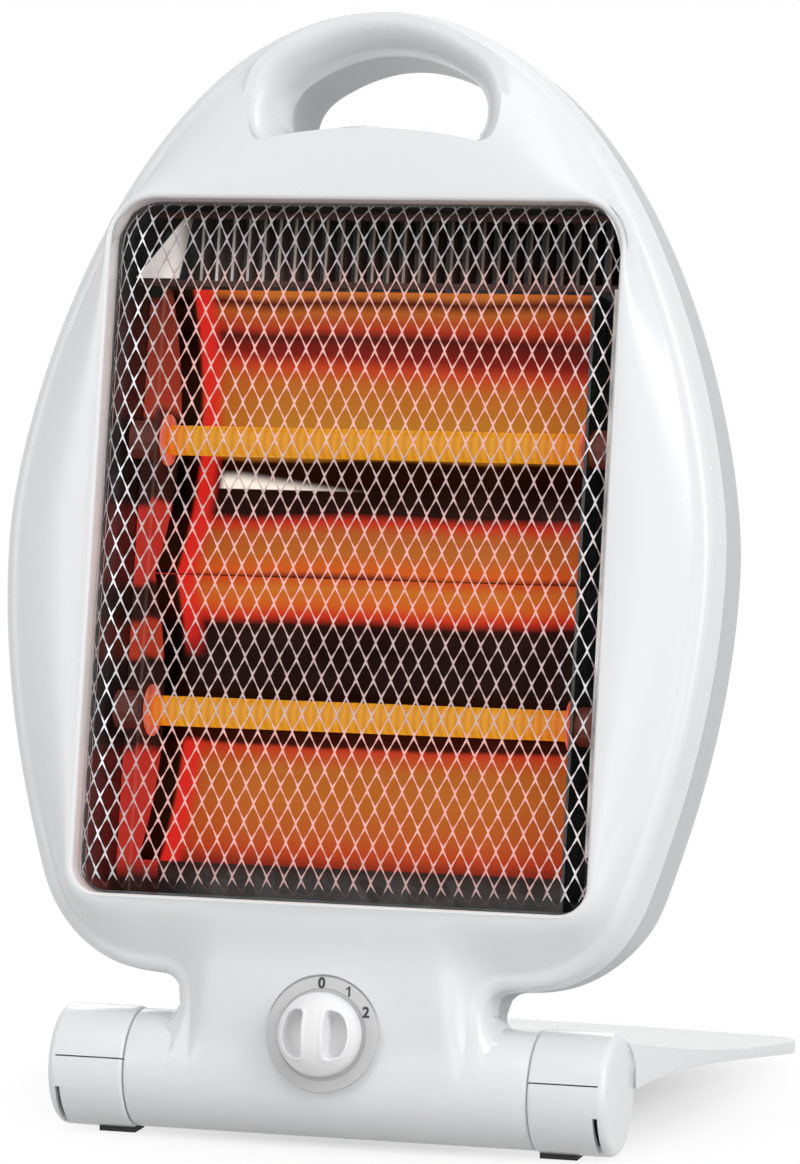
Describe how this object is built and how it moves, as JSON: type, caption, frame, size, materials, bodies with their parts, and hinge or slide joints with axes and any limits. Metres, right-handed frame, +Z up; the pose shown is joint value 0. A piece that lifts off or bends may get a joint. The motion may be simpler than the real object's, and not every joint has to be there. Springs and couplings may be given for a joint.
{
  "type": "halogen heater",
  "caption": "Portable two-tube electric heater: an egg-shaped shell with a carrying slot and mesh guard, tilting on a low stand between two drums, with a rotary dial.",
  "frame": {"origin": "middle of the resting heater's box, on the floor", "axes": "+Z up; the grille faces -Y; +X is to the right seen from the front; the hinge line runs along X"},
  "size_m": [0.232, 0.2308, 0.3549],
  "materials": {
    "shell": "moulded, glossy light grey",
    "grey": "moulded, satin mid grey",
    "dark": "moulded, dark",
    "rubber": "soft, matt",
    "galvanised": "zinc coated sheet",
    "polished": "bright rolled sheet",
    "wire": "bright plated",
    "steel": "plain",
    "brass": "turned",
    "ceramic": "unglazed",
    "quartz": "lit from inside",
    "coil": "glowing resistance wire"
  },
  "bodies": {
    "stand": {"stand_frame": "shell", "left_drum_cover": "grey", "left_friction_washer": "dark", "left_front_foot": "rubber", "left_rear_foot": "rubber", "right_drum_cover": "grey", "right_friction_washer": "dark", "right_front_foot": "rubber", "right_rear_foot": "rubber"},
    "head": {"front_shell": "shell", "rear_shell": "grey", "guard_mesh": "wire", "heater_case": "galvanised", "top_baffle": "galvanised", "thermal_cutout": "steel", "terminal_block": "ceramic", "cord_gland": "dark", "dial_ring": "grey", "rotary_switch": "dark", "tip_switch_box": "dark", "pendulum_pin": "steel", "upper_reflector": "polished", "lower_reflector": "polished", "upper_quartz_tube": "quartz", "lower_quartz_tube": "quartz", "upper_heating_coil": "coil", "lower_heating_coil": "coil", "upper_left_end_cap": "ceramic", "upper_right_end_cap": "ceramic", "lower_left_end_cap": "ceramic", "lower_right_end_cap": "ceramic", "left_end_plate": "galvanised", "left_journal": "steel", "left_spring_washer": "steel", "left_hinge_nut": "steel", "right_end_plate": "galvanised", "right_journal": "steel", "right_spring_washer": "steel", "right_hinge_nut": "steel"},
    "knob": {"knob": "shell", "switch_shaft": "steel"},
    "pendulum": {"tip_pendulum": "brass"}
  },
  "joints": [
    {"name": "head_tilt", "type": "hinge", "parent": "stand", "child": "head", "pos_m": [0, -0.08463, 0.0205], "axis": [-1, 0, 0], "range_deg": [-11.25, 20]},
    {"name": "knob_turn", "type": "hinge", "parent": "head", "child": "knob", "pos_m": [0, -0.10203, 0.03762], "axis": [0, 0.9808, -0.1951], "range_deg": [0, 62]},
    {"name": "pendulum_swing", "type": "hinge", "parent": "head", "child": "pendulum", "pos_m": [-0.04, -0.08336, 0.02688], "axis": [1, 0, 0], "range_deg": [-45, 24]}
  ]
}
